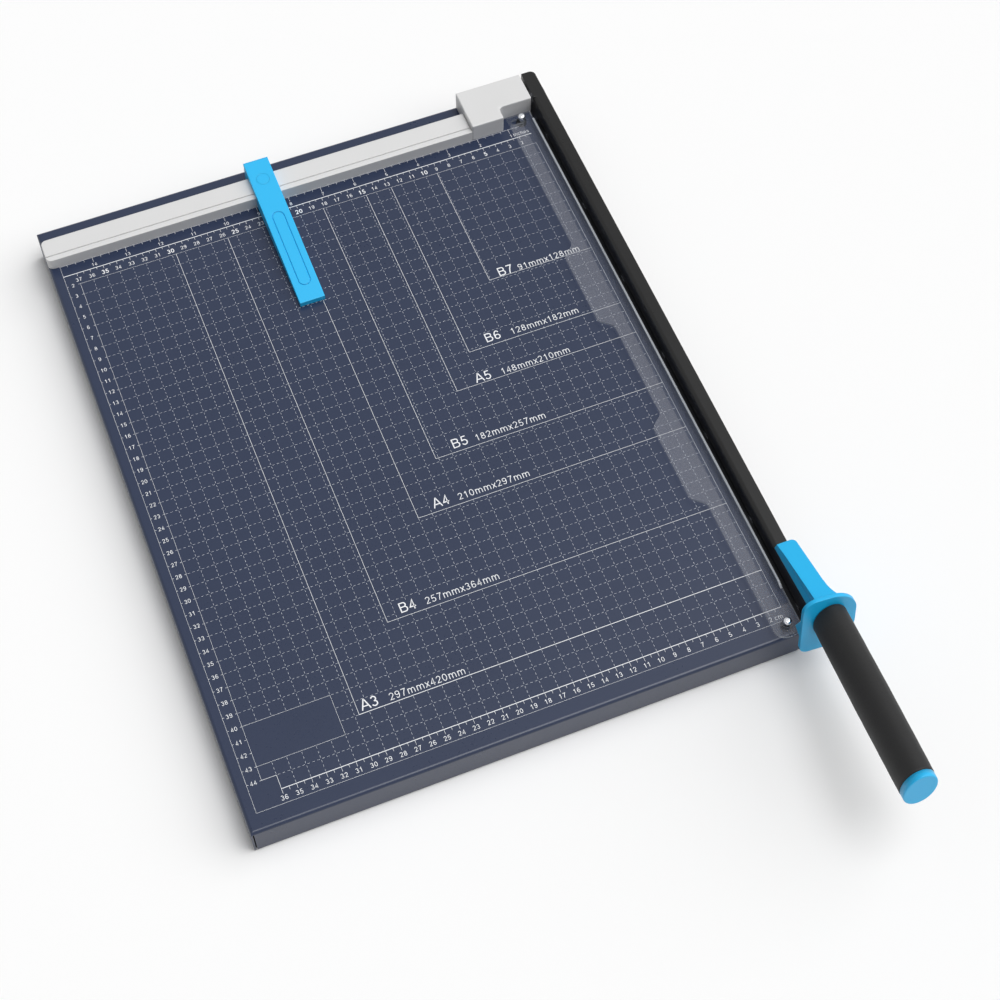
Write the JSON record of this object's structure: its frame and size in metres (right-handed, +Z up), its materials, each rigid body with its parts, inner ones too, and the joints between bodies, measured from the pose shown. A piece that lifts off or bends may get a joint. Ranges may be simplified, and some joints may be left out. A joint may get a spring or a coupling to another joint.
{
  "type": "paper cutter",
  "caption": "Guillotine paper cutter: folded steel board with a rear fence, pivoted blade arm with a guarded handle, clear hold-down strip and sliding paper stop.",
  "frame": {"origin": "the middle of the part's footprint, on the table under its feet", "axes": "+Z up, -Y towards the user and along the handle, +X to the side of the blade"},
  "size_m": [0.4122, 0.6556, 0.0956],
  "materials": {
    "board_paint": "dark blue-grey powder coat, fine satin",
    "fence_plastic": "light grey moulded plastic, satin",
    "blue_plastic": "sky blue moulded plastic, satin gloss",
    "arm_paint": "black powder coat, semi-gloss",
    "blade_steel": "ground tool steel, darkened",
    "zinc_steel": "bright zinc plate",
    "grip_foam": "black foam rubber, matte",
    "core_plastic": "black moulded plastic",
    "clear_plastic": "clear plastic with a frosted outer band",
    "bush_brass": "machined",
    "shoe_plastic": "natural nylon",
    "foot_rubber": "black rubber, matte"
  },
  "bodies": {
    "base": {"base_board": "board_paint", "stiffener_channels": "board_paint", "rubber_feet": "foot_rubber", "rear_fence": "fence_plastic", "fence_screws": "zinc_steel", "pivot_housing": "fence_plastic", "housing_screws": "zinc_steel", "pivot_bracket": "zinc_steel", "bracket_bolts": "zinc_steel", "bracket_nuts": "zinc_steel", "pivot_bolt": "zinc_steel", "thrust_washer": "zinc_steel", "spring_washer": "zinc_steel", "pivot_nut": "zinc_steel", "lower_blade": "blade_steel", "lower_blade_screws": "zinc_steel", "guard_posts": "zinc_steel"},
    "arm": {"blade_arm": "arm_paint", "pivot_bush": "bush_brass", "upper_blade": "blade_steel", "blade_screws": "zinc_steel", "hand_guard": "blue_plastic", "hand_guard_screws": "zinc_steel", "handle_tang": "zinc_steel", "handle_core": "core_plastic", "grip": "grip_foam", "end_cap": "blue_plastic"},
    "hold_down": {"hold_down_strip": "clear_plastic"},
    "stop_slider": {"paper_stop": "blue_plastic", "stop_cap": "blue_plastic", "stop_screw": "zinc_steel", "brake_shoe": "shoe_plastic"}
  },
  "joints": [
    {"name": "arm_pivot", "type": "hinge", "parent": "base", "child": "arm", "pos_m": [0.18713, 0.31183, 0.0314], "axis": [-1, 0, 0], "range_deg": [0, 75]},
    {"name": "hold_down_lift", "type": "slide", "parent": "base", "child": "hold_down", "axis": [0, 0, 1], "range_m": [0, 0.003]},
    {"name": "stop_slide", "type": "slide", "parent": "base", "child": "stop_slider", "axis": [1, 0, 0], "range_m": [-0.158, 0.152]}
  ]
}
